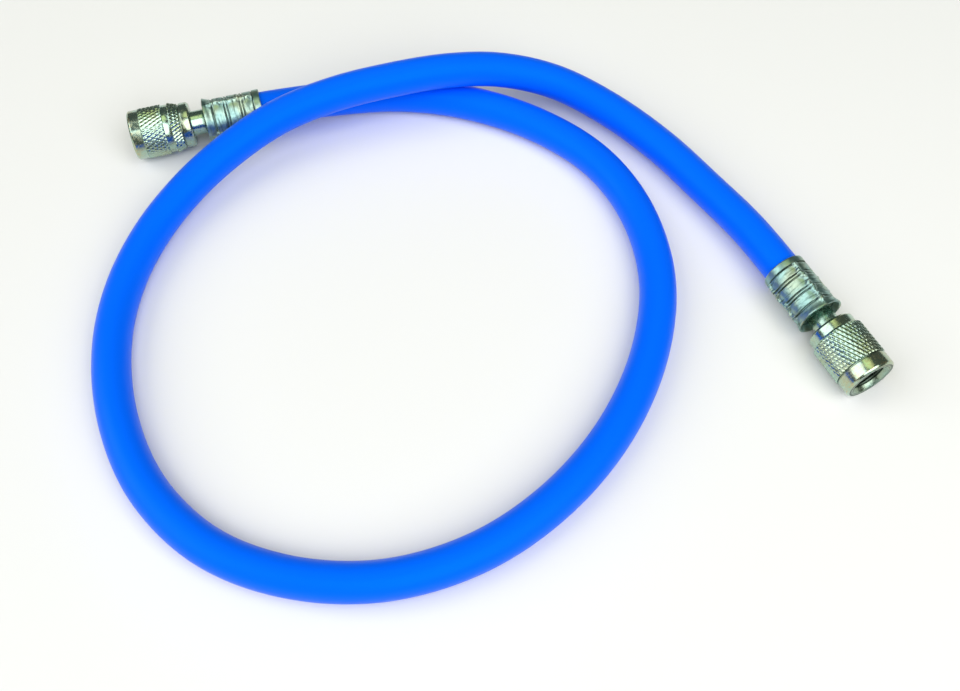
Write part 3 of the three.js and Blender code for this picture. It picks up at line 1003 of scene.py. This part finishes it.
class CHARGINGHOSE_OT_stems(bpy.types.Operator):
    """Add the turned stem of each end"""

    bl_idname = "charging_hose.stems"
    bl_label = "Stems"

    def execute(self, context):
        looks = context.scene.fitting_looks
        metal = metal_material("stem_plating", looks, looks.nut_colour, STEM_FINISH)
        for end, mouth, angle, _, _, _ in FITTINGS:
            piece = turned(end + "_hose_stem", rounded(stem_profile(), EDGE_ROUNDING), STEM_COLUMNS)
            placed(piece, mouth, angle)
            seat(piece, metal, "hose_assembly", end + "_stem")
        return {"FINISHED"}


class CHARGINGHOSE_OT_swivel_nuts(bpy.types.Operator):
    """Add the knurled swivel nut of each end"""

    bl_idname = "charging_hose.swivel_nuts"
    bl_label = "Swivel nuts"

    def execute(self, context):
        looks = context.scene.fitting_looks
        metal = metal_material("nut_plating", looks, looks.nut_colour, NUT_FINISH)
        knurling, thread = knurling_tree(), thread_tree()
        for end, mouth, angle, bands, profile, _ in FITTINGS:
            piece = turned(end + "_knurled_nut", rounded(profile(looks), EDGE_ROUNDING),
                           looks.knurl_teeth * COLUMNS_PER_TOOTH)
            for start, stop in bands:
                apply_tree(piece, knurling, metal, teeth_around=looks.knurl_teeth,
                           diamond_length=looks.diamond_length, depth=looks.knurl_depth,
                           band_start=start, band_end=stop, least_radius=BACK_COLLAR_RADIUS - SKIN)
            apply_tree(piece, thread, metal, pitch=looks.thread_pitch, depth=looks.thread_depth,
                       thread_start=RELIEF_END, thread_end=NUT_LENGTH - MOUTH_BEVEL,
                       greatest_radius=THREAD_RADIUS + SKIN)
            placed(piece, mouth, angle, NUT_BACK)
            seat(piece, metal, end + "_nut", end + "_swivel_nut")
        return {"FINISHED"}


class CHARGINGHOSE_OT_declare_cord(bpy.types.Operator):
    bl_idname = "charging_hose.declare_cord"
    bl_label = "Hose length"

    def execute(self, context):
        path = [tuple(point) for point in hose_line()]
        return {"FINISHED"}


class CHARGINGHOSE_OT_stage(bpy.types.Operator):
    """Add the pale floor and the soft studio light"""

    bl_idname = "charging_hose.stage"
    bl_label = "Stage"

    def execute(self, context):
        mesh = bpy.data.meshes.new("floor")
        corners = [(x * FLOOR_HALF, y * FLOOR_HALF, 0) for x, y in ((-1, -1), (1, -1), (1, 1), (-1, 1))]
        mesh.from_pydata(corners, [], [(0, 1, 2, 3)])
        floor = linked("floor", mesh)
        pale, _, surface = shader("floor_paper")
        surface.inputs["Base Color"].default_value = FLOOR_COLOUR
        surface.inputs["Roughness"].default_value = FLOOR_ROUGHNESS
        surface.inputs["Specular IOR Level"].default_value = FLOOR_SHEEN
        mesh.materials.append(pale)
        for name, place, size, power, colour in LIGHTS:
            light = bpy.data.objects.new(name, bpy.data.lights.new(name, "AREA"))
            light.data.size = size
            light.data.energy = power
            light.data.color = colour
            light.location = place
            light.rotation_euler = (-Vector(place)).to_track_quat("-Z", "Y").to_euler()
            context.scene.collection.objects.link(light)
        world = bpy.data.worlds.new("studio")
        world.use_nodes = True
        background = world.node_tree.nodes["Background"]
        background.inputs["Color"].default_value = WORLD_COLOUR
        background.inputs["Strength"].default_value = WORLD_STRENGTH
        context.scene.world = world
        context.scene.view_settings.view_transform = "Standard"
        return {"FINISHED"}


PIECES = (
    CHARGINGHOSE_OT_camera,
    CHARGINGHOSE_OT_hose,
    CHARGINGHOSE_OT_ferrules,
    CHARGINGHOSE_OT_stems,
    CHARGINGHOSE_OT_swivel_nuts,
    CHARGINGHOSE_OT_declare_cord,
    CHARGINGHOSE_OT_stage,
)


class CHARGINGHOSE_PT_panel(bpy.types.Panel):
    """Lists the pieces of the charging hose"""

    bl_label = "Charging Hose"
    bl_space_type = "VIEW_3D"
    bl_region_type = "UI"
    bl_category = "Charging Hose"

    def draw(self, context):
        for looks in (context.scene.hose_looks, context.scene.fitting_looks):
            for name in looks.__annotations__:
                self.layout.prop(looks, name)
        for piece in PIECES:
            self.layout.operator(piece.bl_idname)


CLASSES = (HoseSettings, FittingSettings, *PIECES, CHARGINGHOSE_PT_panel)


def register():
    for item in CLASSES:
        bpy.utils.register_class(item)
    bpy.types.Scene.hose_looks = PointerProperty(type=HoseSettings)
    bpy.types.Scene.fitting_looks = PointerProperty(type=FittingSettings)


def unregister():
    del bpy.types.Scene.fitting_looks
    del bpy.types.Scene.hose_looks
    for item in reversed(CLASSES):
        bpy.utils.unregister_class(item)


def main():
    register()
    for piece in PIECES:
        getattr(bpy.ops.charging_hose, piece.bl_idname.split(".")[1])()


if __name__ == "__main__":
    main()
